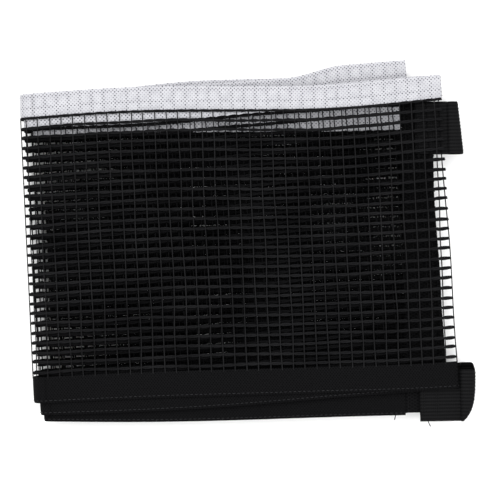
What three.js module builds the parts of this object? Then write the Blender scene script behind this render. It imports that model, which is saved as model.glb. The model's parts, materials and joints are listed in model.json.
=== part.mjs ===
import * as THREE from "three";

// A table tennis net folded in half three times, so it lies as eight plies with its top tape towards +Y.
// Millimetres, +X along the plies, +Z up. Plies are numbered along the net, and levels from the table up.

const NET_HEIGHT = 152.5;
const TOP_TAPE_WIDTH = 11.5;
const BOTTOM_TAPE_WIDTH = 13;
const TAPE_THICKNESS = 1;
const MESH_THICKNESS = 0.8;
const BINDING_WIDTH = 16;
const STRAP_WIDTH = 25.5;
const STRAP_THICKNESS = 0.9;
const STRAP_SEWN_LENGTH = 9;
const LOOP_DEPTH = 7.8;
const LOOP_HEIGHT = 7.2;
const TUCKED_LOOP_LENGTH = 18;

// How far the white tape runs on past its mesh at the back end.
const BACK_TAPE_TAIL = 6.8;
const GAP = 0.3;

// How far the folds stand out to the left and right of the middle, and where the net's two ends stop.
const LEFT_REACH = 108.4;
const RIGHT_REACH = 100.2;
const END_REACH = 93.5;

// How far past the topmost fold each open loop starts.
const TOP_LOOP_CLEARANCE = 1.4;
const BOTTOM_LOOP_CLEARANCE = 0.3;

// The ply that lies on top, its slope in degrees and the point that its middle passes over.
const FRONT_PLY = 3;
const FRONT_SLOPE = 2.45;
const FRONT_MIDDLE = new THREE.Vector2(-3.9, 0.7);

// Levels of plies 0 to 7, counted from the table.
const LEVEL_OF_PLY = [4, 3, 0, 7, 6, 1, 2, 5];
const LEVELS_UNDER_A_STRAP = [1, 3, 5];

// One fold after each ply but the last. Inset is how much further in its arc's centre line lies than
// the outermost fold of that side, and tilt is its lean in degrees.
const LEFT = -1;
const RIGHT = 1;
const FOLDS = [
  { side: LEFT, inset: 5, tilt: 3.05 },
  { side: RIGHT, inset: 7.3, tilt: 2.5 },
  { side: LEFT, inset: 0, tilt: 2.75 },
  { side: RIGHT, inset: 0, tilt: 3.3 },
  { side: LEFT, inset: 0.9, tilt: 3.3 },
  { side: RIGHT, inset: 8.3, tilt: 2.9 },
  { side: LEFT, inset: 1.6, tilt: 2.2 },
];
const OUTERMOST_FOLD = { [LEFT]: 2, [RIGHT]: 3 };
const REACH = { [LEFT]: LEFT_REACH, [RIGHT]: RIGHT_REACH };
const ARC_STEPS = 12;
const LOOP_STEPS = 40;
const LOOP_SQUARENESS = 4;

const UP = new THREE.Vector3(0, 0, 1);

const material = (name, color, roughness) => {
  const made = new THREE.MeshStandardMaterial({ color, roughness });
  made.name = name;
  return made;
};
const LOOK = {
  mesh: ["black_net_cord", 0x1c1c1e, 0.9],
  top_tape: ["white_twill_tape", 0xeeeeee, 0.8],
  bottom_tape: ["black_twill_tape", 0x18181a, 0.85],
  binding: ["black_end_binding", 0x1a1a1c, 0.85],
  strap: ["black_elastic_webbing", 0x202022, 0.75],
};

function levelHeight(level) {
  let height = TAPE_THICKNESS / 2;
  for (let below = 0; below < level; below++) {
    height += TAPE_THICKNESS + GAP;
    if (LEVELS_UNDER_A_STRAP.includes(below)) height += STRAP_THICKNESS + GAP;
  }
  return height;
}
const plyHeight = (ply) => levelHeight(LEVEL_OF_PLY[ply]);

const slopeVector = (degrees) => {
  const angle = THREE.MathUtils.degToRad(degrees);
  return new THREE.Vector2(Math.cos(angle), Math.sin(angle));
};

// A fold joins ply i and ply i + 1 by half a turn about a line that lies along the fold.
function makeFold(i) {
  const { side, inset, tilt } = FOLDS[i];
  const radius = Math.abs(plyHeight(i) - plyHeight(i + 1)) / 2;
  const outermost = OUTERMOST_FOLD[side];
  const widest = Math.abs(plyHeight(outermost) - plyHeight(outermost + 1)) / 2;
  return {
    radius,
    middle: (plyHeight(i) + plyHeight(i + 1)) / 2,
    outward: slopeVector(tilt).multiplyScalar(side),
    start: new THREE.Vector2(side * (REACH[side] - widest - inset), 0),
  };
}
const folds = FOLDS.map((_, i) => makeFold(i));

// A ply's place in plan: its origin, the way along the net, and the way up the net.
const mirrored = (vector, normal) =>
  vector.clone().addScaledVector(normal, -2 * vector.dot(normal));

function across(ply, fold) {
  const line = fold.start.clone().addScaledVector(fold.outward, (Math.PI * fold.radius) / 2);
  const origin = mirrored(ply.origin.clone().sub(line), fold.outward).add(line);
  return { origin, along: mirrored(ply.along, fold.outward), up: mirrored(ply.up, fold.outward) };
}

const plies = [];
const frontAlong = slopeVector(FRONT_SLOPE);
plies[FRONT_PLY] = {
  origin: FRONT_MIDDLE.clone(),
  along: frontAlong,
  up: new THREE.Vector2(-frontAlong.y, frontAlong.x),
};
for (let i = FRONT_PLY; i < folds.length; i++) plies[i + 1] = across(plies[i], folds[i]);
for (let i = FRONT_PLY - 1; i >= 0; i--) plies[i] = across(plies[i + 1], folds[i]);

const inPlan = (ply, along, up) =>
  ply.origin.clone().addScaledVector(ply.along, along).addScaledVector(ply.up, up);

// How far along a ply it meets a fold's start line, at a height up the net.
function meets(ply, fold, up) {
  const offset = fold.start.clone().sub(inPlan(ply, 0, up));
  return offset.dot(fold.outward) / ply.along.dot(fold.outward);
}

// How far along a ply its middle is at a distance to the right of the part's middle.
const alongAt = (ply, x) => (x - ply.origin.x) / ply.along.x;

// Stations: each is a line across the net, given as a function of the height up the net.
const flatStation = (i, along, height, normal) => (up) => {
  const point = inPlan(plies[i], along(up), up);
  return { point: new THREE.Vector3(point.x, point.y, height), normal };
};

const foldEdge = (i, fold, inset) => {
  const sign = Math.sign(plies[i].along.dot(fold.outward));
  return (up) => meets(plies[i], fold, up) - sign * inset;
};

const outerNormal = (i, fold) => UP.clone().multiplyScalar(Math.sign(plyHeight(i) - fold.middle));

function arcStations(i) {
  const fold = folds[i];
  const lift = plyHeight(i) - fold.middle;
  const outward = new THREE.Vector3(fold.outward.x, fold.outward.y, 0);
  return Array.from({ length: ARC_STEPS + 1 }, (_, step) => (up) => {
    const angle = (Math.PI * step) / ARC_STEPS;
    const line = inPlan(plies[i], meets(plies[i], fold, up), up);
    const normal = outward.clone().multiplyScalar(Math.sin(angle));
    normal.addScaledVector(UP, Math.sign(lift) * Math.cos(angle));
    const point = new THREE.Vector3(line.x, line.y, fold.middle).addScaledVector(normal, fold.radius);
    return { point, normal };
  });
}

// A closed band: a cross-section carried through the stations.
function band(stations, low, high, thickness) {
  const half = thickness / 2;
  const corners = [
    [low, -half],
    [low, half],
    [high, half],
    [high, -half],
  ];
  const positions = [];
  for (const station of stations) {
    for (const [up, offset] of corners) {
      const { point, normal } = station(up);
      positions.push(...point.clone().addScaledVector(normal, offset).toArray());
    }
  }
  const index = [0, 1, 2, 0, 2, 3];
  for (let ring = 0; ring + 1 < stations.length; ring++) {
    for (let side = 0; side < corners.length; side++) {
      const a = ring * corners.length + side;
      const b = ring * corners.length + ((side + 1) % corners.length);
      const c = a + corners.length;
      const d = b + corners.length;
      index.push(a, c, b, b, c, d);
    }
  }
  const last = (stations.length - 1) * corners.length;
  index.push(last, last + 2, last + 1, last, last + 3, last + 2);
  const geometry = new THREE.BufferGeometry();
  geometry.setAttribute("position", new THREE.Float32BufferAttribute(positions, 3));
  geometry.setIndex(index);
  return facingOut(geometry);
}

function facingOut(geometry) {
  const position = geometry.getAttribute("position");
  const index = geometry.getIndex();
  const corner = (i) => new THREE.Vector3().fromBufferAttribute(position, index.getX(i));
  let volume = 0;
  for (let i = 0; i < index.count; i += 3) volume += corner(i).dot(corner(i + 1).cross(corner(i + 2)));
  if (volume < 0) index.array.reverse();
  geometry.computeVertexNormals();
  return geometry;
}

const root = new THREE.Group();
root.name = "table_tennis_net";

function add(name, look, geometry) {
  const mesh = new THREE.Mesh(geometry, material(...LOOK[look]));
  mesh.name = name;
  root.add(mesh);
  return mesh;
}

const TOP = NET_HEIGHT / 2;
const BOTTOM = -NET_HEIGHT / 2;
const UNDER_TOP_TAPE = TOP - TOP_TAPE_WIDTH - GAP;
const OVER_BOTTOM_TAPE = BOTTOM + BOTTOM_TAPE_WIDTH + GAP;
const STRIPS = [
  { look: "mesh", low: OVER_BOTTOM_TAPE, high: UNDER_TOP_TAPE, thickness: MESH_THICKNESS },
  { look: "top_tape", low: TOP - TOP_TAPE_WIDTH, high: TOP, thickness: TAPE_THICKNESS },
  { look: "bottom_tape", low: BOTTOM, high: BOTTOM + BOTTOM_TAPE_WIDTH, thickness: TAPE_THICKNESS },
];

const addStrips = (name, stations, topStations = stations) => {
  for (const { look, low, high, thickness } of STRIPS) {
    const path = look === "top_tape" ? topStations : stations;
    add(look + "_" + name, look, band(path, low, high, thickness));
  }
};

// Two plies that a right-hand fold holds together.
function addPair(i) {
  const before = i > 0 ? folds[i - 1] : null;
  const after = folds[i + 1];
  const fold = folds[i];
  addStrips("plies_" + i + "_" + (i + 1), [
    flatStation(i, foldEdge(i, before, GAP), plyHeight(i), outerNormal(i, fold)),
    ...arcStations(i),
    flatStation(i + 1, foldEdge(i + 1, after, GAP), plyHeight(i + 1), outerNormal(i + 1, fold)),
  ]);
}

// The net's two end plies, each closed by a binding that its loops are sewn to.
function addEnd(i, fold, name, bindingTop, tapeTail) {
  const ply = plies[i];
  const end = alongAt(ply, END_REACH);
  const outwards = Math.sign(ply.along.x);
  const inner = end - outwards * BINDING_WIDTH;
  const at = (along) => flatStation(i, () => along, plyHeight(i), UP);
  const start = flatStation(i, foldEdge(i, fold, GAP), plyHeight(i), UP);
  const meshPath = [start, at(inner - outwards * GAP)];
  addStrips("ply_" + i, meshPath, [start, at(inner + outwards * tapeTail)]);
  add("binding_" + name, "binding", band([at(inner), at(end)], BOTTOM, bindingTop, TAPE_THICKNESS));
}

const lowerPairs = [1, 5];
const upperPair = FRONT_PLY;
addPair(upperPair);
lowerPairs.forEach(addPair);
addEnd(7, folds[6], "front_end", TOP, -GAP);
addEnd(0, folds[0], "back_end", UNDER_TOP_TAPE, BACK_TAPE_TAIL);
for (const i of [0, 2, 4, 6]) addStrips("fold_" + i + "_" + (i + 1), arcStations(i));

// A strap lies this far from the middle of the ply that it is sewn to.
const STRAP_OFFSET = TAPE_THICKNESS / 2 + GAP + STRAP_THICKNESS / 2;
const FRONT_LOOPS = {
  top: { low: TOP - STRAP_WIDTH, clearance: TOP_LOOP_CLEARANCE },
  bottom: { low: BOTTOM, clearance: BOTTOM_LOOP_CLEARANCE },
};
const BACK_LOOPS = {
  top: { low: UNDER_TOP_TAPE - STRAP_WIDTH },
  bottom: { low: BOTTOM },
};

// The rounded outline of a loop that stands open, seen along its opening.
function loopOutline(depth, height) {
  return Array.from({ length: LOOP_STEPS }, (_, step) => {
    const angle = (2 * Math.PI * step) / LOOP_STEPS;
    const swell = (value) => Math.sign(value) * Math.abs(value) ** (2 / LOOP_SQUARENESS);
    return new THREE.Vector2((depth / 2) * swell(Math.cos(angle)), (height / 2) * swell(Math.sin(angle)));
  });
}

// The front end's loops stand open past the folds, on tabs sewn over the binding.
for (const [place, { low, clearance }] of Object.entries(FRONT_LOOPS)) {
  const ply = plies[7];
  const high = low + STRAP_WIDTH;
  const height = plyHeight(7) + STRAP_OFFSET;
  const sewn = alongAt(ply, END_REACH) - STRAP_SEWN_LENGTH;
  const fold = folds[FRONT_PLY];
  const pivot = meets(ply, fold, low) + fold.radius + TAPE_THICKNESS / 2 + clearance;
  const at = (along) => flatStation(7, () => along, height, UP);
  add("loop_tab_front_" + place, "strap", band([at(sewn), at(pivot - GAP)], low, high, STRAP_THICKNESS));
  const outline = new THREE.Shape(loopOutline(LOOP_DEPTH, LOOP_HEIGHT));
  const hollow = loopOutline(LOOP_DEPTH - 2 * STRAP_THICKNESS, LOOP_HEIGHT - 2 * STRAP_THICKNESS);
  outline.holes.push(new THREE.Path(hollow.reverse()));
  const geometry = new THREE.ExtrudeGeometry(outline, { depth: high - low, bevelEnabled: false });
  const centre = inPlan(ply, pivot + LOOP_DEPTH / 2, low);
  const along = new THREE.Vector3(ply.along.x, ply.along.y, 0);
  const up = new THREE.Vector3(ply.up.x, ply.up.y, 0);
  const frame = new THREE.Matrix4().makeBasis(along, UP.clone().negate(), up);
  frame.setPosition(centre.x, centre.y, height);
  add("loop_front_" + place, "strap", geometry.applyMatrix4(frame));
}

// The back end's loops are folded in flat under their binding.
for (const [place, { low }] of Object.entries(BACK_LOOPS)) {
  const ply = plies[0];
  const end = alongAt(ply, END_REACH);
  const inwards = -Math.sign(ply.along.x);
  const height = plyHeight(0) - STRAP_OFFSET;
  const at = (along) => flatStation(0, () => along, height, UP);
  const stations = [at(end + inwards * GAP), at(end + inwards * TUCKED_LOOP_LENGTH)];
  add("loop_back_" + place, "strap", band(stations, low, low + STRAP_WIDTH, STRAP_THICKNESS));
}

// The origin is the middle of the underside.
const bounds = new THREE.Box3().setFromObject(root);
const middle = bounds.getCenter(new THREE.Vector3());
for (const mesh of root.children) mesh.geometry.translate(-middle.x, -middle.y, -bounds.min.z);

export default root;
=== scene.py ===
import json
import math

import bpy
import numpy as np
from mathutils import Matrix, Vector


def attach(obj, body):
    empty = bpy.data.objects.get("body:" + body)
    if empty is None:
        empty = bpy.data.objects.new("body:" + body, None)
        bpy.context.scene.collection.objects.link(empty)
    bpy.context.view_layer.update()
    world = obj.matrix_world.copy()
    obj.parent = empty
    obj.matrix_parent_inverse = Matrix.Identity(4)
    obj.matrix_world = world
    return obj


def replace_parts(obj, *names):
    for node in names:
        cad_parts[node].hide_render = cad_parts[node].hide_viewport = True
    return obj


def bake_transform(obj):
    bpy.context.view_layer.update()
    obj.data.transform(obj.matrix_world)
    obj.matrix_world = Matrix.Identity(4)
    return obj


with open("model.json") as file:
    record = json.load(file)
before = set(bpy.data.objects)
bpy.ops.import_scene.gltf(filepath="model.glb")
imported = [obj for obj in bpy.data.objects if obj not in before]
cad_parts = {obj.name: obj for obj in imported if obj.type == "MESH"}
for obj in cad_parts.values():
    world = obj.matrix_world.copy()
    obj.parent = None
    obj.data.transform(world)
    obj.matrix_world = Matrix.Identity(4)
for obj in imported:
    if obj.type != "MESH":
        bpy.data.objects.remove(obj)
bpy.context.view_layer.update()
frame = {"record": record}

# A table tennis net folded in half three times. Metres; plies are numbered along the net.

NET_HEIGHT = 0.1525
TOP_TAPE_WIDTH = 0.0115
BOTTOM_TAPE_WIDTH = 0.013
TAPE_THICKNESS = 0.001
BINDING_WIDTH = 0.016
STRAP_WIDTH = 0.0255
STRAP_THICKNESS = 0.0009
STRAP_SEWN_LENGTH = 0.009
LOOP_DEPTH = 0.0078
LOOP_HEIGHT = 0.0072
TUCKED_LOOP_LENGTH = 0.018
BACK_TAPE_TAIL = 0.0068
GAP = 0.0003

LEFT_REACH = 0.1084
RIGHT_REACH = 0.1002
END_REACH = 0.0935
TOP_LOOP_CLEARANCE = 0.0014
BOTTOM_LOOP_CLEARANCE = 0.0003
FRONT_PLY = 3
FRONT_SLOPE = 2.45
FRONT_MIDDLE = np.array([-0.0039, 0.0007])
LEVEL_OF_PLY = [4, 3, 0, 7, 6, 1, 2, 5]
LEVELS_UNDER_A_STRAP = (1, 3, 5)
LEFT, RIGHT = -1, 1
FOLD_PLACES = [
    (LEFT, 0.0050, 3.05),
    (RIGHT, 0.0073, 2.50),
    (LEFT, 0.0000, 2.75),
    (RIGHT, 0.0000, 3.30),
    (LEFT, 0.0009, 3.30),
    (RIGHT, 0.0083, 2.90),
    (LEFT, 0.0016, 2.20),
]

COLUMN_PITCH = 0.00575
ROW_PITCH = 0.00482
ROW_STRAND_RADIUS = 0.00043
ROW_STRAND_SPREAD = 0.00038
ROW_STRAND_RISE = 0.00014
INNER_ROW_RADIUS = 0.00050
INNER_ROW_SPREAD = 0.00045
COLUMN_RADIUS = 0.00029
COLUMN_LIFT = 0.00038
CORD_STEP = 0.00115
TAPE_STEP = 0.0022
FOLD_STEP = 0.0009
STITCH_PITCH = 0.0023
STITCH_LENGTH = 0.0016
STITCH_RADIUS = 0.00017
THREAD_RADIUS = 0.00024

TOP = NET_HEIGHT / 2
BOTTOM = -NET_HEIGHT / 2
UNDER_TOP_TAPE = TOP - TOP_TAPE_WIDTH - GAP
Z = np.array([0.0, 0.0, 1.0])


# The camera: straight above the bundle, with a long lens.

CAMERA_LENS = 120
FRAME_WIDTH = 0.2463
CAMERA_AIM = (0.0013, -0.0047, 0.0120)


def place_camera():
    data = bpy.data.cameras.new("camera")
    data.lens = CAMERA_LENS
    data.sensor_width = 36
    data.clip_start = 0.05
    data.clip_end = 20
    camera = bpy.data.objects.new("camera", data)
    x, y, z = CAMERA_AIM
    camera.location = (x, y, z + FRAME_WIDTH * data.lens / data.sensor_width)
    bpy.context.scene.collection.objects.link(camera)
    bpy.context.scene.camera = camera


place_camera()


# The folded net as a surface: along it, up it, and off its face.

def level_height(level):
    height = TAPE_THICKNESS / 2
    for below in range(level):
        height += TAPE_THICKNESS + GAP
        if below in LEVELS_UNDER_A_STRAP:
            height += STRAP_THICKNESS + GAP
    return height


def slope_vector(degrees):
    return np.array([math.cos(math.radians(degrees)), math.sin(math.radians(degrees))])


def mirrored(vector, normal):
    return vector - 2 * np.dot(vector, normal) * normal


class Fold:
    def __init__(self, i):
        side, inset, tilt = FOLD_PLACES[i]
        outermost = 2 if side == LEFT else 3
        reach = LEFT_REACH if side == LEFT else RIGHT_REACH
        heights = [level_height(LEVEL_OF_PLY[k]) for k in (i, i + 1, outermost, outermost + 1)]
        self.radius = abs(heights[0] - heights[1]) / 2
        self.middle = (heights[0] + heights[1]) / 2
        self.low, self.high = sorted(heights[:2])
        self.outward = slope_vector(tilt) * side
        self.start = np.array([side * (reach - abs(heights[2] - heights[3]) / 2 - inset), 0.0])
        self.is_left = side == LEFT


class Ply:
    def __init__(self, i, origin, along, up):
        self.origin, self.along, self.up = origin, along, up
        self.height = level_height(LEVEL_OF_PLY[i])
        self.facing = 1.0 if along[0] * up[1] - along[1] * up[0] > 0 else -1.0

    def plan(self, along, up):
        return self.origin + np.multiply.outer(along, self.along) + np.multiply.outer(up, self.up)

    def meets(self, fold, up):
        offset = (fold.start - self.origin) @ fold.outward
        return (offset - up * (self.up @ fold.outward)) / (self.along @ fold.outward)

    def along_at(self, x):
        return (x - self.origin[0]) / self.along[0]


def unfold(ply, fold, i):
    line = fold.start + fold.outward * math.pi * fold.radius / 2
    origin = mirrored(ply.origin - line, fold.outward) + line
    return Ply(i, origin, mirrored(ply.along, fold.outward), mirrored(ply.up, fold.outward))


FOLDS = [Fold(i) for i in range(len(FOLD_PLACES))]
PLIES = [None] * (len(FOLDS) + 1)
front_along = slope_vector(FRONT_SLOPE)
PLIES[FRONT_PLY] = Ply(FRONT_PLY, FRONT_MIDDLE, front_along, np.array([-front_along[1], front_along[0]]))
for i in range(FRONT_PLY, len(FOLDS)):
    PLIES[i + 1] = unfold(PLIES[i], FOLDS[i], i + 1)
for i in range(FRONT_PLY, 0, -1):
    PLIES[i - 1] = unfold(PLIES[i], FOLDS[i - 1], i - 1)

BACK_END = PLIES[0].along_at(END_REACH)
FRONT_END = PLIES[7].along_at(END_REACH)

joints = {j["name"]: j for j in frame["record"]["behaviour"]["joints"]}
half_fold_place = np.array(joints["half_fold"]["pos_m"])
SHIFT = half_fold_place - np.array([*FOLDS[2].start, FOLDS[2].middle])


def begins(i, up):
    """Where ply i begins along the net, past the fold before it."""
    return PLIES[i].meets(FOLDS[i - 1], up) if i > 0 else BACK_END + 0 * up


def ends(i, up):
    """Where ply i ends along the net, at the fold after it."""
    return PLIES[i].meets(FOLDS[i], up) if i < len(FOLDS) else FRONT_END + 0 * up


def sway(u, first, second):
    return first * np.sin(math.pi * u) + second * np.sin(2 * math.pi * u)


# How far the tapes of a ply bow up or down between its folds: one and two half waves, top then bottom.
BOWS = {
    0: ((-0.0006, 0.0000), (-0.0010, 0.0004)),
    1: ((0.0004, 0.0003), (-0.0008, 0.0006)),
    2: ((-0.0008, -0.0004), (0.0006, 0.0005)),
    3: ((-0.0006, 0.0015), (-0.0004, 0.0005)),
    4: ((-0.0004, 0.0004), (-0.0022, 0.0002)),
    5: ((0.0005, 0.0003), (0.0004, -0.0006)),
    6: ((0.0006, -0.0004), (0.0004, 0.0003)),
    7: ((0.0003, 0.0005), (-0.0010, -0.0004)),
}


def near_fold(i, reach):
    """The stretch around a fold: where a shift begins, is full, starts to fade and is over."""
    return ends(i, 0.0) - reach, ends(i, 0.0) - 0.004, begins(i + 1, 0.0) + 0.004, begins(i + 1, 0.0) + reach


# Stretches of the net that lie a little higher or lower: top tape, then bottom tape.
BACK_END_SAG = (BACK_END + 0.040, BACK_END + 0.068, BACK_END + 0.200, BACK_END + 0.280)
SHIFTS = [
    (BACK_END_SAG, -0.0042, 0.0),
    (near_fold(1, 0.07), -0.0034, 0.0),
    (near_fold(3, 0.07), 0.0008, -0.0012),
]


def eased(value, low, high):
    share = np.clip((value - low) / (high - low), 0, 1)
    return share * share * (3 - 2 * share)


def sag(along, up):
    share = (up - BOTTOM) / NET_HEIGHT
    total = 0 * along
    for (begin, full, fade, over), top, bottom in SHIFTS:
        here = eased(along, begin, full) * (1 - eased(along, fade, over))
        total = total + here * (share * top + (1 - share) * bottom)
    return total


def bow(i, along, up):
    begin, end = begins(i, up), ends(i, up)
    u = np.clip((along - begin) / (end - begin), 0, 1)
    share = (up - BOTTOM) / NET_HEIGHT
    top, bottom = BOWS[i]
    return share * sway(u, *top) + (1 - share) * sway(u, *bottom)


def on_net(along, up, lift=0.0):
    """Points on the folded net, at distances along it, up it and off its face."""
    along, up, lift = np.broadcast_arrays(np.asarray(along, float), up, lift)
    points = np.zeros(along.shape + (3,))
    for i, ply in enumerate(PLIES):
        here = (along >= begins(i, up)) & (along <= ends(i, up))
        if i == 0:
            here |= along < BACK_END
        if i == len(FOLDS):
            here |= along > FRONT_END
        a, b = along[here], up[here]
        points[here, :2] = ply.plan(a, b + bow(i, a, b) + sag(a, b))
        points[here, 2] = ply.height + ply.facing * lift[here]
    for i, fold in enumerate(FOLDS):
        ply = PLIES[i]
        begin, end = ends(i, up), begins(i + 1, up)
        here = (along > begin) & (along < end)
        a, b = along[here], up[here]
        flat = ply.plan(a, b + sag(a, b))
        past = (flat - fold.start) @ fold.outward
        angle = np.clip(past / fold.radius, 0, math.pi)[:, None]
        side = math.copysign(1, ply.height - fold.middle)
        normal = np.sin(angle) * np.append(fold.outward, 0) + side * np.cos(angle) * Z
        line = flat - past[:, None] * fold.outward
        centre = np.column_stack([line, np.full(len(a), fold.middle)])
        points[here] = centre + normal * (fold.radius + ply.facing * side * lift[here][:, None])
    return points + SHIFT


# The net is made in lengths: each ply with the right-hand fold after it, and each left-hand fold alone.

OUTER_LENGTHS = ("ply_3", "fold_2_3", "ply_2")


class Length:
    def __init__(self, name, spans, body, fold=None, node=None):
        self.name, self.spans, self.body, self.fold, self.node = name, spans, body, fold, node
        self.is_outer = name in OUTER_LENGTHS

    def stops(self, up, step):
        """Distances along the net from one end of this length to the other, at a height up the net."""
        found = []
        for begin, end, is_fold in self.spans:
            low, high = begin(up), end(up)
            count = max(2, math.ceil((high - low) / (min(step, FOLD_STEP) if is_fold else step)))
            found.append(np.linspace(low, high, count + 1)[(1 if found else 0):])
        return np.concatenate(found)

    def shares(self, step):
        """The same stops as shares of each span, so that every height has the same count."""
        found = []
        for number, (begin, end, is_fold) in enumerate(self.spans):
            length = end(0.0) - begin(0.0)
            count = max(2, math.ceil(length / (min(step, FOLD_STEP) if is_fold else step)))
            found += [(number, share) for share in np.linspace(0, 1, count + 1)[(1 if found else 0):]]
        return found

    def at(self, number, share, up):
        begin, end, _ = self.spans[number]
        return begin(up) * (1 - share) + end(up) * share

    def window(self, along):
        """The heights between which the net at a distance along it belongs to this length."""
        low, high = BOTTOM, TOP
        for line, side in ((self.spans[0][0], 1), (self.spans[-1][1], -1)):
            offset, lean = line(0.0), (line(TOP) - line(BOTTOM)) / NET_HEIGHT
            if abs(lean) < 1e-9:
                if side * (along - offset) < 0:
                    return None
                continue
            crossing = (along - offset) / lean
            if side * lean > 0:
                high = min(high, crossing)
            else:
                low = max(low, crossing)
        return (low, high) if high - low > 0.0005 else None


LOWER, UPPER = "lower_plies", "upper_plies"
BODY_OF_PLY = [UPPER, LOWER, LOWER, UPPER, UPPER, LOWER, LOWER, UPPER]
NODE_OF_PLY = ["ply_0", "plies_1_2", None, "plies_3_4", None, "plies_5_6", None, "ply_7"]


def ply_length(i):
    spans = [(lambda up: begins(i, up), lambda up: ends(i, up), False)]
    if i < len(FOLDS) and not FOLDS[i].is_left:
        spans.append((lambda up: ends(i, up), lambda up: begins(i + 1, up), True))
    return Length(f"ply_{i}", spans, BODY_OF_PLY[i], node=NODE_OF_PLY[i])


def fold_length(i):
    spans = [(lambda up: ends(i, up), lambda up: begins(i + 1, up), True)]
    return Length(f"fold_{i}_{i + 1}", spans, None, FOLDS[i], f"fold_{i}_{i + 1}")


PLY_LENGTHS = [ply_length(i) for i in range(len(PLIES))]
FOLD_LENGTHS = [fold_length(i) for i in range(len(FOLDS)) if FOLDS[i].is_left]


def settle(piece, length):
    """The piece moves with its ply; a fold piece only has its transform baked into its mesh."""
    if length.fold is None:
        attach(piece, length.body)
        return
    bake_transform(piece)


# Meshes.

def new_object(name, vertices, faces=(), edges=()):
    mesh = bpy.data.meshes.new(name)
    mesh.from_pydata(np.asarray(vertices).tolist(), [tuple(e) for e in edges], [tuple(f) for f in faces])
    mesh.update()
    made = bpy.data.objects.new(name, mesh)
    bpy.context.scene.collection.objects.link(made)
    return made


def shell(name, rings, cloth, material, back_material=None):
    """A closed band through rings of points. A ring runs along one face and back along the other.
    cloth holds each point's place on the cloth, for the weave."""
    rings, cloth = np.asarray(rings), np.asarray(cloth)
    stations, around = rings.shape[:2]
    half = around // 2
    faces = []
    for i in range(stations - 1):
        for j in range(around):
            k = (j + 1) % around
            a = i * around
            faces.append((a + j, a + k, a + around + k, a + around + j))
    last = (stations - 1) * around
    for j in range(half - 1):
        faces.append((j + 1, j, around - 1 - j, around - 2 - j))
        faces.append((last + j, last + j + 1, last + around - 2 - j, last + around - 1 - j))
    flat = rings.reshape(-1, 3)
    corners = flat[[f[0] for f in faces]], flat[[f[1] for f in faces]], flat[[f[2] for f in faces]]
    fourth = flat[[f[3] for f in faces]]
    centre = flat.mean(axis=0)
    a, b, c, d = (p - centre for p in (*corners, fourth))
    volume = (a * np.cross(b, c)).sum() + (a * np.cross(c, d)).sum()
    if volume < 0:
        faces = [f[::-1] for f in faces]
    made = new_object(name, flat, faces)
    layer = made.data.uv_layers.new(name="cloth")
    index = np.empty(len(made.data.loops), int)
    made.data.loops.foreach_get("vertex_index", index)
    layer.data.foreach_set("uv", cloth.reshape(-1, 2)[index].ravel())
    made.data.polygons.foreach_set("use_smooth", [True] * len(made.data.polygons))
    made.data.materials.append(material)
    if back_material:
        made.data.materials.append(back_material)
        sides = np.arange(len(faces)) % around >= half
        sides[(stations - 1) * around:] = False
        made.data.polygons.foreach_set("material_index", sides.astype(np.int32))
    return made


def joined(pieces, name):
    """Several meshes as one piece."""
    with bpy.context.temp_override(
        active_object=pieces[0], selected_editable_objects=pieces, selected_objects=pieces
    ):
        bpy.ops.object.join()
    pieces[0].name = name
    return pieces[0]


# Geometry Nodes.

def new_tree(name, inputs):
    tree = bpy.data.node_groups.new(name, "GeometryNodeTree")
    tree.interface.new_socket("Geometry", in_out="INPUT", socket_type="NodeSocketGeometry")
    for label, kind, value in inputs:
        socket = tree.interface.new_socket(label, in_out="INPUT", socket_type=kind)
        if value is not None:
            socket.default_value = value
    tree.interface.new_socket("Geometry", in_out="OUTPUT", socket_type="NodeSocketGeometry")
    return tree, tree.nodes.new("NodeGroupInput"), tree.nodes.new("NodeGroupOutput")


def stored(tree, name):
    node = tree.nodes.new("GeometryNodeInputNamedAttribute")
    node.data_type = "FLOAT"
    node.inputs["Name"].default_value = name
    return next(s for s in node.outputs if s.name == "Attribute" and s.enabled)


def chain(tree, *nodes):
    """Runs the geometry through the nodes in order."""
    for before, after in zip(nodes, nodes[1:]):
        source = next(s for s in before.outputs if s.type == "GEOMETRY")
        target = next(s for s in after.inputs if s.type == "GEOMETRY")
        tree.links.new(source, target)


def make_cord_tree():
    """Sweeps round cord along every guide line; columns take a second material."""
    inputs = [
        ("Sides", "NodeSocketInt", 5),
        ("Row Material", "NodeSocketMaterial", None),
        ("Column Material", "NodeSocketMaterial", None),
    ]
    tree, start, end = new_tree("lay_cords", inputs)
    to_curve = tree.nodes.new("GeometryNodeMeshToCurve")
    profile = tree.nodes.new("GeometryNodeCurvePrimitiveCircle")
    profile.inputs["Radius"].default_value = 1.0
    sweep = tree.nodes.new("GeometryNodeCurveToMesh")
    sweep.inputs["Fill Caps"].default_value = True
    smooth = tree.nodes.new("GeometryNodeSetShadeSmooth")
    realize = tree.nodes.new("GeometryNodeRealizeInstances")
    rows = tree.nodes.new("GeometryNodeSetMaterial")
    columns = tree.nodes.new("GeometryNodeSetMaterial")
    chain(tree, start, to_curve, sweep, smooth, realize, rows, columns, end)
    tree.links.new(stored(tree, "cord_radius"), sweep.inputs["Scale"])
    tree.links.new(start.outputs["Sides"], profile.inputs["Resolution"])
    tree.links.new(profile.outputs["Curve"], sweep.inputs["Profile Curve"])
    tree.links.new(start.outputs["Row Material"], rows.inputs["Material"])
    tree.links.new(start.outputs["Column Material"], columns.inputs["Material"])
    tree.links.new(stored(tree, "is_column"), columns.inputs["Selection"])
    return tree


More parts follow.
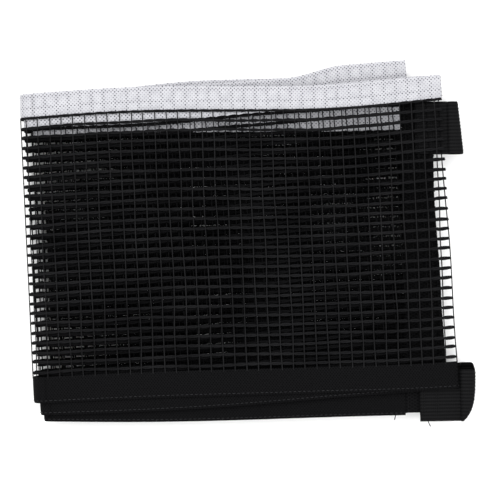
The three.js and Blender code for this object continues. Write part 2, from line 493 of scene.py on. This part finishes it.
def make_stitch_tree():
    """Sets one stitch after another along every guide line."""
    inputs = [
        ("Pitch", "NodeSocketFloat", STITCH_PITCH),
        ("Stitch Length", "NodeSocketFloat", STITCH_LENGTH),
        ("Thread Radius", "NodeSocketFloat", STITCH_RADIUS),
        ("Thread", "NodeSocketMaterial", None),
    ]
    tree, start, end = new_tree("sew_stitches", inputs)
    to_curve = tree.nodes.new("GeometryNodeMeshToCurve")
    to_points = tree.nodes.new("GeometryNodeCurveToPoints")
    to_points.mode = "LENGTH"
    stitch = tree.nodes.new("GeometryNodeMeshUVSphere")
    stitch.inputs["Segments"].default_value = 6
    stitch.inputs["Rings"].default_value = 4
    stitch.inputs["Radius"].default_value = 1.0
    size = tree.nodes.new("ShaderNodeCombineXYZ")
    half = tree.nodes.new("ShaderNodeMath")
    half.operation = "MULTIPLY"
    half.inputs[1].default_value = 0.5
    place = tree.nodes.new("GeometryNodeInstanceOnPoints")
    realize = tree.nodes.new("GeometryNodeRealizeInstances")
    smooth = tree.nodes.new("GeometryNodeSetShadeSmooth")
    finish = tree.nodes.new("GeometryNodeSetMaterial")
    chain(tree, start, to_curve, to_points, place, realize, smooth, finish, end)
    tree.links.new(start.outputs["Pitch"], to_points.inputs["Length"])
    tree.links.new(start.outputs["Stitch Length"], half.inputs[0])
    tree.links.new(start.outputs["Thread Radius"], size.inputs["X"])
    tree.links.new(start.outputs["Thread Radius"], size.inputs["Y"])
    tree.links.new(half.outputs[0], size.inputs["Z"])
    tree.links.new(stitch.outputs["Mesh"], place.inputs["Instance"])
    tree.links.new(to_points.outputs["Rotation"], place.inputs["Rotation"])
    tree.links.new(size.outputs["Vector"], place.inputs["Scale"])
    tree.links.new(start.outputs["Thread"], finish.inputs["Material"])
    return tree


def made_by(tree, guide, name, **values):
    """The plain mesh that a tree makes from a guide."""
    modifier = guide.modifiers.new(tree.name, "NODES")
    modifier.node_group = tree
    for socket in tree.interface.items_tree:
        key = socket.name.lower().replace(" ", "_")
        if socket.in_out == "INPUT" and key in values:
            modifier[socket.identifier] = values[key]
    bpy.context.view_layer.update()
    graph = bpy.context.evaluated_depsgraph_get()
    mesh = bpy.data.meshes.new_from_object(guide.evaluated_get(graph))
    mesh.name = name
    for attribute in ("cord_radius", "is_column"):
        if attribute in mesh.attributes:
            mesh.attributes.remove(mesh.attributes[attribute])
    made = bpy.data.objects.new(name, mesh)
    bpy.context.scene.collection.objects.link(made)
    bpy.data.objects.remove(guide)
    return made


class Guide:
    """Lines of points that a tree follows, with what it needs to know at each point."""

    def __init__(self):
        self.points, self.edges, self.radii, self.columns = [], [], [], []
        self.count = 0

    def add(self, points, radius=0.0, is_column=False):
        number = len(points)
        if number < 2:
            return
        self.points.append(points)
        self.edges.append(np.column_stack([np.arange(number - 1), np.arange(1, number)]) + self.count)
        self.radii.append(np.broadcast_to(radius, number))
        self.columns.append(np.full(number, float(is_column)))
        self.count += number

    def made(self, name):
        guide = new_object(name, np.concatenate(self.points), edges=np.concatenate(self.edges))
        for label, values in (("cord_radius", self.radii), ("is_column", self.columns)):
            attribute = guide.data.attributes.new(label, "FLOAT", "POINT")
            attribute.data.foreach_set("value", np.concatenate(values).astype(np.float32))
        return guide


# Materials.

class Finish:
    """A material and the few nodes that cloth needs."""

    def __init__(self, name, roughness, **sockets):
        self.material = bpy.data.materials.new(name)
        self.material.use_nodes = True
        self.tree = self.material.node_tree
        self.shader = self.tree.nodes["Principled BSDF"]
        self.shader.inputs["Roughness"].default_value = roughness
        for label, value in sockets.items():
            self.shader.inputs[label.replace("_", " ")].default_value = value

    def node(self, kind, **settings):
        made = self.tree.nodes.new(kind)
        for label, value in settings.items():
            setattr(made, label, value)
        return made

    def feed(self, target, value):
        if isinstance(value, bpy.types.NodeSocket):
            self.tree.links.new(value, target)
        else:
            target.default_value = value

    def maths(self, operation, *values, clamp=False):
        made = self.node("ShaderNodeMath", operation=operation, use_clamp=clamp)
        for target, value in zip(made.inputs, values):
            self.feed(target, value)
        return made.outputs[0]

    def places(self, on_cloth):
        if on_cloth:
            return self.node("ShaderNodeUVMap", uv_map="cloth").outputs["UV"]
        return self.node("ShaderNodeTexCoord").outputs["Object"]

    def stripes(self, places, pitch, direction, phase=0.0):
        """A smooth wave from 0 to 1 that repeats every pitch in a direction."""
        length = math.hypot(*direction)
        turns = [2 * math.pi * d / (pitch * length) for d in direction]
        dot = self.node("ShaderNodeVectorMath", operation="DOT_PRODUCT")
        self.feed(dot.inputs[0], places)
        dot.inputs[1].default_value = (turns[0], turns[1], 0)
        wave = self.maths("SINE", self.maths("ADD", dot.outputs["Value"], phase))
        return self.maths("MULTIPLY_ADD", wave, 0.5, 0.5)

    def speckle(self, places, size, detail=2.0):
        made = self.node("ShaderNodeTexNoise")
        self.feed(made.inputs["Vector"], places)
        made.inputs["Scale"].default_value = 1 / size
        made.inputs["Detail"].default_value = detail
        return made.outputs["Fac"]

    def ramp(self, value, *stops):
        made = self.node("ShaderNodeValToRGB")
        elements = made.color_ramp.elements
        while len(elements) < len(stops):
            elements.new(0.5)
        for element, (position, color) in zip(elements, stops):
            element.position = position
            element.color = (*color, 1) if len(color) == 3 else color
        self.feed(made.inputs["Fac"], value)
        return made.outputs["Color"]

    def mixed(self, share, first, second, blend="MIX"):
        made = self.node("ShaderNodeMix", data_type="RGBA", blend_type=blend)
        self.feed(made.inputs["Factor"], share)
        for label, value in (("A", first), ("B", second)):
            target = next(s for s in made.inputs if s.name == label and s.type == "RGBA")
            self.feed(target, (*value, 1) if isinstance(value, tuple) and len(value) == 3 else value)
        return next(s for s in made.outputs if s.type == "RGBA")

    def color(self, value):
        self.feed(self.shader.inputs["Base Color"], value)

    def bump(self, height, distance, strength=1.0):
        made = self.node("ShaderNodeBump")
        made.inputs["Distance"].default_value = distance
        made.inputs["Strength"].default_value = strength
        self.feed(made.inputs["Height"], height)
        self.tree.links.new(made.outputs["Normal"], self.shader.inputs["Normal"])


def cord_finish(name, dark, light, roughness):
    finish = Finish(name, roughness, Specular_IOR_Level=0.02)
    places = finish.places(on_cloth=False)
    fibre = finish.speckle(places, 0.0005, 3)
    patch = finish.speckle(places, 0.02)
    shade = finish.maths("MULTIPLY_ADD", patch, 0.5, finish.maths("MULTIPLY", fibre, 0.5))
    finish.color(finish.ramp(shade, (0.3, dark), (0.7, light)))
    finish.bump(fibre, 0.00012)
    return finish.material


def white_tape_finish():
    finish = Finish("white_twill_tape", 0.75, Specular_IOR_Level=0.25, Sheen_Weight=0.15)
    places = finish.places(on_cloth=True)
    twill = finish.stripes(places, TAPE_PORE_PITCH, (1, 1))
    cross = finish.stripes(places, TAPE_PORE_PITCH, (1, -1))
    pore = finish.maths("POWER", finish.maths("MULTIPLY", twill, cross), 1.8)
    column = finish.maths("POWER", finish.stripes(places, COLUMN_PITCH, (1, 0), math.pi / 2), 6)
    row = finish.maths("POWER", finish.stripes(places, TAPE_ROW_PITCH, (0, 1), TAPE_ROW_PHASE), 14)
    soil = finish.speckle(places, 0.004, 4)
    cloth = finish.ramp(soil, (0.3, (0.375, 0.375, 0.40)), (0.7, (0.455, 0.455, 0.48)))
    lines = finish.maths("MAXIMUM", column, row)
    shown = finish.maths("MULTIPLY_ADD", lines, 1.5, 0.55)
    shown = finish.maths("MULTIPLY", pore, shown, clamp=True)
    cloth = finish.mixed(shown, cloth, (0.035, 0.035, 0.045))
    finish.color(cloth)
    weave = finish.maths("ADD", finish.maths("MULTIPLY", twill, 0.6), finish.maths("MULTIPLY", pore, -0.8))
    finish.bump(weave, 0.00015)
    return finish.material


def black_tape_finish(name, pitch, lean):
    finish = Finish(name, 0.8, Specular_IOR_Level=0.02, Sheen_Weight=0.0)
    places = finish.places(on_cloth=True)
    twill = finish.stripes(places, pitch, (1, lean))
    cross = finish.stripes(places, pitch, (1, -lean))
    weave = finish.maths("MAXIMUM", twill, finish.maths("MULTIPLY", cross, 0.95))
    lint = finish.speckle(places, 0.0012, 4)
    shade = finish.maths("MULTIPLY_ADD", weave, 0.55, finish.maths("MULTIPLY", lint, 0.45))
    finish.color(finish.ramp(shade, (0.25, (0.0014, 0.0014, 0.0016)), (0.85, (0.0056, 0.0056, 0.0060))))
    finish.bump(weave, 0.00016)
    return finish.material


def webbing_finish(name, dark, light):
    finish = Finish(name, 0.6, Specular_IOR_Level=0.03)
    places = finish.places(on_cloth=True)
    rib = finish.stripes(places, RIB_PITCH, (0, 1))
    pick = finish.stripes(places, 0.0009, (1, 0))
    weave = finish.maths("MULTIPLY_ADD", pick, 0.2, finish.maths("MULTIPLY", rib, 0.8))
    lint = finish.speckle(places, 0.0008, 4)
    shade = finish.maths("MULTIPLY_ADD", weave, 0.6, finish.maths("MULTIPLY", lint, 0.4))
    finish.color(finish.ramp(shade, (0.2, dark), (0.85, light)))
    finish.bump(weave, 0.00018)
    return finish.material


def thread_finish(name, dark, light):
    finish = Finish(name, 0.55, Specular_IOR_Level=0.04)
    places = finish.places(on_cloth=False)
    ply = finish.speckle(places, 0.0003, 2)
    finish.color(finish.ramp(ply, (0.3, dark), (0.7, light)))
    finish.bump(ply, 0.00005)
    return finish.material


RIB_PITCH = 0.0017
TAPE_PORE_PITCH = 0.00128
TAPE_ROW_PITCH = 0.0056
TAPE_ROW_PHASE = math.pi / 2 - 2 * math.pi * (TOP - 0.0016) / TAPE_ROW_PITCH
row_cord = cord_finish("black_row_cord", (0.0045, 0.0045, 0.0050), (0.0125, 0.0125, 0.0132), 0.9)
column_cord = cord_finish("black_column_cord", (0.0062, 0.0062, 0.0066), (0.0150, 0.0150, 0.0158), 0.6)
# The plies under the top face take darker copies of the same black cord: painted shade for the cords lying
# below the top ply.
painted_shade_row_cord = cord_finish("inner_black_row_cord", (0.0020, 0.0020, 0.0022), (0.0055, 0.0055, 0.0059), 0.9)
painted_shade_column_cord = cord_finish(
    "inner_black_column_cord", (0.0024, 0.0024, 0.0026), (0.0062, 0.0062, 0.0066), 0.8
)
white_tape = white_tape_finish()
black_tape = black_tape_finish("black_twill_tape", 0.0011, 0.8)
binding_tape = black_tape_finish("black_end_binding", 0.0014, 0.6)
webbing = webbing_finish("black_elastic_webbing", (0.0028, 0.0028, 0.0031), (0.0074, 0.0074, 0.0078))
# The same webbing painted far darker for the strap's inside face: painted shade inside the loop.
webbing_inside = webbing_finish("webbing_inside", (0.0006, 0.0006, 0.0007), (0.0016, 0.0016, 0.0017))
white_thread = thread_finish("white_thread", (0.40, 0.40, 0.42), (0.50, 0.50, 0.52))
grey_thread = thread_finish("charcoal_thread", (0.012, 0.012, 0.013), (0.030, 0.030, 0.032))
black_thread = thread_finish("black_thread", (0.005, 0.005, 0.0055), (0.011, 0.011, 0.0116))


# The mesh cloth: pairs of strands twist along each row, and the columns lie over them.

MESH_LOW = BOTTOM + BOTTOM_TAPE_WIDTH - 0.001
CORD_WANDER = 0.00014
CORD_SIDES = 5
rng = np.random.default_rng(7)


def wander(count):
    """A gentle wave for each cord, the same each run."""
    lengths = rng.uniform(0.03, 0.12, (count, 3))
    phases = rng.uniform(0, 2 * math.pi, (count, 3))
    return lambda i, x: CORD_WANDER * np.sin(2 * math.pi * x[:, None] / lengths[i] + phases[i]).sum(axis=1)


ROW_HEIGHTS = np.arange(TOP - TOP_TAPE_WIDTH - 0.0005, MESH_LOW, -ROW_PITCH)
COLUMN_PLACES = np.arange(BACK_END + BINDING_WIDTH, FRONT_END - BINDING_WIDTH, COLUMN_PITCH)
row_wander = wander(len(ROW_HEIGHTS))
column_wander = wander(len(COLUMN_PLACES))
MESH_START = BACK_END + BINDING_WIDTH - 0.001
MESH_STOP = FRONT_END - BINDING_WIDTH + 0.001


def lay_rows(guide, length):
    for i, height in enumerate(ROW_HEIGHTS):
        along = np.clip(length.stops(height, CORD_STEP), MESH_START, MESH_STOP)
        along = np.unique(along)
        turn = math.pi * (along - COLUMN_PLACES[0]) / COLUMN_PITCH
        for side in (-1, 1):
            swing = np.sign(np.sin(turn)) * np.sqrt(np.abs(np.sin(turn)))
            spread = ROW_STRAND_SPREAD if length.is_outer else INNER_ROW_SPREAD
            up = height + row_wander(i, along) + side * spread * swing
            lift = side * ROW_STRAND_RISE * np.cos(turn) - 0.0001
            guide.add(on_net(along, up, lift), ROW_STRAND_RADIUS if length.is_outer else INNER_ROW_RADIUS)


def lay_columns(guide, length):
    for i, place in enumerate(COLUMN_PLACES):
        window = length.window(place)
        if window is None:
            continue
        low, high = max(window[0], MESH_LOW), min(window[1], TOP - TOP_TAPE_WIDTH)
        if high - low < 0.002:
            continue
        up = np.linspace(low, high, max(3, math.ceil((high - low) / (1.3 * CORD_STEP))))
        along = place + column_wander(i, up)
        guide.add(on_net(along, up, COLUMN_LIFT), COLUMN_RADIUS, is_column=True)


def make_mesh_cloth(length, tree):
    guide = Guide()
    lay_rows(guide, length)
    lay_columns(guide, length)
    line = guide.made("guide")
    # Cords of the plies under the top face get the darker copies, which are painted shade.
    cords = (row_cord, column_cord) if length.is_outer else (painted_shade_row_cord, painted_shade_column_cord)
    made = made_by(
        tree,
        line,
        "net_cloth_" + length.name,
        sides=CORD_SIDES,
        row_material=cords[0],
        column_material=cords[1],
    )
    return made


# The tapes along the net's edges, folded over the mesh and stitched.

TAPE_ACROSS = 9
TAPE_HALF = 0.00047
TAPE_RIPPLE = 0.00008
TAPE_RIPPLE_LONG = 0.023
TAPE_RIPPLE_SHORT = 0.0091
STITCH_LIFT = 0.00006


def tape_section(low, high):
    """Heights across a tape, and how thick its half is at each."""
    share = (1 - np.cos(np.linspace(0, math.pi, TAPE_ACROSS))) / 2
    half = TAPE_HALF * np.clip(1 - np.abs(2 * share - 1) ** 8, 0.06, 1) ** 0.5
    return low + (high - low) * share, half


def make_tape(name, length, low, high, material, thread, seams, tree):
    heights, half = tape_section(low, high)
    up = np.concatenate([heights, heights[::-1]])
    lift = np.concatenate([half, -half[::-1]])
    rings, cloth = [], []
    start = TOP_TAPE_START if high == TOP else TAPE_START
    for number, share in length.shares(TAPE_STEP):
        along = np.clip(length.at(number, share, up), start, TAPE_STOP)
        long_wave = np.sin(2 * math.pi * along / TAPE_RIPPLE_LONG)
        short_wave = np.sin(2 * math.pi * along / TAPE_RIPPLE_SHORT)
        rings.append(on_net(along, up, lift + TAPE_RIPPLE * long_wave * short_wave))
        cloth.append(np.column_stack([along, up]))
    tape = shell(name, rings, cloth, material)
    guide = Guide()
    for height in seams:
        along = np.unique(np.clip(length.stops(height, TAPE_STEP), start, TAPE_STOP))
        for face in (-1, 1):
            guide.add(on_net(along, height, face * (TAPE_HALF + STITCH_LIFT)))
    stitches = made_by(tree, guide.made("guide"), name + "_stitches", thread=thread)
    made = joined([tape, stitches], name)
    return made


TAPE_START = BACK_END + BINDING_WIDTH + 0.00002
TAPE_STOP = FRONT_END - BINDING_WIDTH - 0.00002
TOP_TAPE_START = BACK_END + BINDING_WIDTH - BACK_TAPE_TAIL
TOP_SEAMS = [TOP - TOP_TAPE_WIDTH + 0.0013]
BOTTOM_SEAMS = [BOTTOM + 0.0012]
TAPE_THREAD_PLACE = 0.0725
LOOP_THREAD_PLACE = 0.0885

cord_tree = make_cord_tree()
stitch_tree = make_stitch_tree()


def make_length(length):
    cloth = make_mesh_cloth(length, cord_tree)
    top = make_tape(
        "white_tape_" + length.name, length, TOP - TOP_TAPE_WIDTH, TOP,
        white_tape, white_thread, TOP_SEAMS, stitch_tree,
    )
    bottom = make_tape(
        "black_tape_" + length.name, length, BOTTOM, BOTTOM + BOTTOM_TAPE_WIDTH,
        black_tape, grey_thread, BOTTOM_SEAMS, stitch_tree,
    )
    if length.name == "ply_7":
        make_loose_thread(bottom, TAPE_THREAD_PLACE, BOTTOM + 0.0004, 0.0026, -0.0006)
    for piece, kind in ((cloth, "mesh"), (top, "top_tape"), (bottom, "bottom_tape")):
        if length.node:
            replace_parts(piece, f"{kind}_{length.node}")
        settle(piece, length)
    return cloth, top, bottom


def make_loose_thread(owner, place, up, reach, lean):
    """A thread end that hangs off the front end's lower edge, joined to its owner."""
    share = np.linspace(0, 1, 7)
    along = PLIES[7].along_at(place) + lean * share ** 1.5
    guide = Guide()
    guide.add(on_net(along, up - reach * share, 0.0002), THREAD_RADIUS)
    thread = made_by(
        cord_tree,
        guide.made("guide"),
        "thread",
        sides=CORD_SIDES,
        row_material=black_thread,
        column_material=black_thread,
    )
    return joined([owner, thread], owner.name)


fold_pieces = [make_length(length) for length in FOLD_LENGTHS]
ply_pieces = [make_length(length) for length in PLY_LENGTHS]
for i, (cloth, top, bottom) in enumerate(ply_pieces):
    span = PLY_LENGTHS[i].spans
    width = float(min(span[-1][1](0.0), MESH_STOP) - max(span[0][0](0.0), MESH_START))
    going_with = [top, bottom]
    if i % 2 == 0:
        going_with += fold_pieces[i // 2]


# The end bindings: a tape folded over each end of the net.

def make_binding(name, edge, inwards, top, body):
    places, half = tape_section(0.0, BINDING_WIDTH)
    along = edge + inwards * np.concatenate([places, places[::-1]])
    lift = np.concatenate([half, -half[::-1]])
    rings, cloth = [], []
    for up in np.linspace(BOTTOM + 0.0012, top, 90):
        rings.append(on_net(along, up, lift))
        cloth.append(np.column_stack([up + 0 * along, along]))
    tape = shell(name + "_tape", rings, cloth, binding_tape)
    guide = Guide()
    height = np.linspace(BOTTOM + 0.002, top - 0.001, 80)
    for seam in (0.0014, BINDING_WIDTH - 0.0014):
        for face in (-1, 1):
            guide.add(on_net(edge + inwards * seam + 0 * height, height, face * (TAPE_HALF + STITCH_LIFT)))
    stitches = made_by(stitch_tree, guide.made("guide"), name + "_stitches", thread=black_thread)
    made = joined([tape, stitches], name + "_tape")
    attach(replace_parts(made, name), body)
    return made


make_binding("binding_front_end", FRONT_END, -1, TOP, UPPER)
make_binding("binding_back_end", BACK_END, 1, UNDER_TOP_TAPE, UPPER)


# The elastic loops.

STRAP_ACROSS = 61
STRAP_HALF = 0.0003
RIB_DEPTH = 0.00009
STRAP_OFFSET = TAPE_THICKNESS / 2 + GAP + STRAP_THICKNESS / 2
LOOP_SQUARENESS = 3.0
BEND_BEFORE_PIVOT = 0.002
BEND_AFTER_PIVOT = 0.0015
TACK_INSET = 0.0012
TACK_SPACING = 0.001
TACK_LIFT = 0.00016
PRESSED_SHARE = 0.55


def open_loop_route(sewn, depth, height):
    """A strap's route seen along its opening: out from its sewn end, round the loop and back."""
    layer = STRAP_HALF + 0.00004
    flat = np.linspace(-sewn, -0.0004, 16)
    angle = np.radians(np.linspace(-172, 172, 64))
    power = 2 / LOOP_SQUARENESS
    across = np.sign(np.cos(angle)) * np.abs(np.cos(angle)) ** power
    rise = np.sign(np.sin(angle)) * np.abs(np.sin(angle)) ** power
    round_x = depth / 2 * (1 + across)
    round_z = height / 2 * rise
    x = np.concatenate([flat, round_x, flat[::-1]])
    z = np.concatenate([np.full(16, -layer), round_z, np.full(16, layer)])
    for _ in range(3):
        x[1:-1] = (x[:-2] + 2 * x[1:-1] + x[2:]) / 4
        z[1:-1] = (z[:-2] + 2 * z[1:-1] + z[2:]) / 4
    return x, z


def flat_loop_route(length):
    """A strap pressed flat: out and back, closed by a tight turn."""
    layer = STRAP_HALF * 0.7
    turn = np.radians(np.linspace(-90, 90, 9))
    out = np.linspace(0.0004, length - layer, 20)
    x = np.concatenate([out, length - layer + layer * np.cos(turn), out[::-1]])
    z = np.concatenate([np.full(20, -layer), layer * np.sin(turn), np.full(20, layer)])
    return x, z


def strap_rings(ply, pivot, outwards, x, z, low, high, half, shape):
    """The strap's rings along its route. shape moves a point by its place on the route and across it."""
    share = np.linspace(0, 1, STRAP_ACROSS)
    edge = np.clip(1 - np.abs(2 * share - 1) ** 30, 0.1, 1) ** 0.5
    ribs = (half + RIB_DEPTH * np.cos(2 * math.pi * share * (high - low) / RIB_PITCH)) * edge
    step_x, step_z = np.gradient(x), np.gradient(z)
    size = np.hypot(step_x, step_z)
    travelled = np.concatenate([[0], np.cumsum(np.hypot(np.diff(x), np.diff(z)))])
    rings, cloth = [], []
    for i in range(len(x)):
        both = np.concatenate([share, share[::-1]])
        thick = np.concatenate([ribs, -ribs[::-1]])
        px, pz, pt = shape(x[i], z[i], i / (len(x) - 1), both)
        px = px + thick * step_z[i] / size[i]
        pz = pz - thick * step_x[i] / size[i]
        up = low + (high - low) * both + pt
        plan = ply.plan(pivot + outwards * px, up)
        rings.append(np.column_stack([plan, ply.height + pz]) + SHIFT)
        cloth.append(np.column_stack([np.full(len(both), travelled[i]), both * (high - low)]))
    return rings, cloth


def plain_shape(x, z, along, across):
    return x + 0 * across, z + 0 * across, 0 * across


def leaning_shape(x, z, along, across):
    """The upper loop: it leans in towards the white tape and sits a little high."""
    drawn_in = 1 - 0.34 * across if x > 0 else 1 + 0 * across
    return x * drawn_in, z + 0 * across, 0.0017 + 0.0006 * eased(along, 0.6, 0.4) * (across - 0.5)


def slack_shape(x, z, along, across):
    """The lower loop: its bottom corner is drawn in, and its upper layer hangs lower than the one below."""
    drawn_in = 1 - 0.85 * np.exp(-across / 0.20) if x > 0 else 1 + 0 * across
    hang = -0.0032 * eased(along, 0.40, 0.60)
    rim = -0.0016 * np.exp(-(((along - 0.50) / 0.07) ** 2)) * across
    return x * drawn_in, z + 0 * across, hang + rim


def seam_rows(ply, places, low, high, height, outwards, pivot):
    guide = Guide()
    up = np.linspace(low + 0.0008, high - 0.0008, 30)
    for place in places:
        plan = ply.plan(np.full(30, pivot + outwards * place), up)
        guide.add(np.column_stack([plan, np.full(30, height)]) + SHIFT)
    return guide.made("guide")


FRONT_LOOPS = {
    "top": (TOP - STRAP_WIDTH, TOP_LOOP_CLEARANCE, leaning_shape),
    "bottom": (BOTTOM, BOTTOM_LOOP_CLEARANCE, slack_shape),
}
BACK_LOOPS = {"top": UNDER_TOP_TAPE - STRAP_WIDTH, "bottom": BOTTOM}


def make_front_loop(place):
    low, clearance, shape = FRONT_LOOPS[place]
    high = low + STRAP_WIDTH
    ply = PLIES[7]
    fold = FOLDS[FRONT_PLY]
    pivot = ply.meets(fold, low) + fold.radius + TAPE_THICKNESS / 2 + clearance
    sewn = pivot - (FRONT_END - STRAP_SEWN_LENGTH)
    x, z = open_loop_route(sewn, LOOP_DEPTH - STRAP_THICKNESS / 2, LOOP_HEIGHT - STRAP_THICKNESS)
    rings, cloth = strap_rings(ply, pivot, 1, x, z + STRAP_OFFSET, low, high, STRAP_HALF, shape)
    # The strap's inside face takes the darker webbing copy, which is painted shade inside the loop.
    strap = shell("strap_front_" + place, rings, cloth, webbing, webbing_inside)
    first, last = TACK_INSET - sewn, STRAP_SEWN_LENGTH - sewn
    tacks = [first, first + TACK_SPACING, last - TACK_SPACING, last]
    surface = ply.height + STRAP_OFFSET + 2 * STRAP_HALF + TACK_LIFT
    guide = seam_rows(ply, tacks, low, high, surface, 1, pivot)
    stitches = made_by(stitch_tree, guide, "tacks", pitch=0.0013, stitch_length=0.0012, thread=black_thread)
    made = joined([strap, stitches], "strap_front_" + place)
    if place == "bottom":
        make_loose_thread(made, LOOP_THREAD_PLACE, low - 0.0028, 0.0030, 0.0012)
    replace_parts(made, "loop_front_" + place, "loop_tab_front_" + place)
    middle = (low + high) / 2
    ends_at = [
        np.append(ply.plan(pivot + offset, middle), ply.height + STRAP_OFFSET) + SHIFT
        for offset in (-BEND_BEFORE_PIVOT, BEND_AFTER_PIVOT)
    ]
    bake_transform(made)


def make_back_loop(place):
    low = BACK_LOOPS[place]
    high = low + STRAP_WIDTH
    ply = PLIES[0]
    x, z = flat_loop_route(TUCKED_LOOP_LENGTH)
    rings, cloth = strap_rings(
        ply, BACK_END, 1, x, z - STRAP_OFFSET, low, high, STRAP_HALF * PRESSED_SHARE, plain_shape
    )
    made = shell("strap_back_" + place, rings, cloth, webbing)
    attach(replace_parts(made, "loop_back_" + place), f"back_{place}_loop")


for place in FRONT_LOOPS:
    make_front_loop(place)
    make_back_loop(place)


# The floor and the light.

FLOOR_REACH = 3.0
FLOOR_LEVEL = -0.0003
FLOOR_SHADE = 0.93
WORLD_STRENGTH = 1.25


def make_stage():
    turns = ((-1, -1), (1, -1), (1, 1), (-1, 1))
    corners = [(x * FLOOR_REACH, y * FLOOR_REACH, FLOOR_LEVEL) for x, y in turns]
    floor = new_object("floor", corners, [(0, 1, 2, 3)])
    finish = Finish("pale_floor", 0.9, Specular_IOR_Level=0.1)
    finish.color((FLOOR_SHADE, FLOOR_SHADE, FLOOR_SHADE, 1))
    floor.data.materials.append(finish.material)
    world = bpy.data.worlds.new("studio")
    world.use_nodes = True
    sky = world.node_tree.nodes["Background"]
    sky.inputs["Color"].default_value = (1, 1, 1, 1)
    sky.inputs["Strength"].default_value = WORLD_STRENGTH
    bpy.context.scene.world = world
    for name, place, size, power in (
        ("key_light", (-0.7, 0.9, 1.3), 1.2, 20),
        ("fill_light", (0.9, -0.5, 1.2), 1.4, 10),
    ):
        data = bpy.data.lights.new(name, "AREA")
        data.size = size
        data.energy = power
        light = bpy.data.objects.new(name, data)
        light.location = place
        light.rotation_mode = "QUATERNION"
        light.rotation_quaternion = Vector(place).to_track_quat("Z", "Y")
        bpy.context.scene.collection.objects.link(light)
    bpy.context.scene.view_settings.view_transform = "Standard"


make_stage()
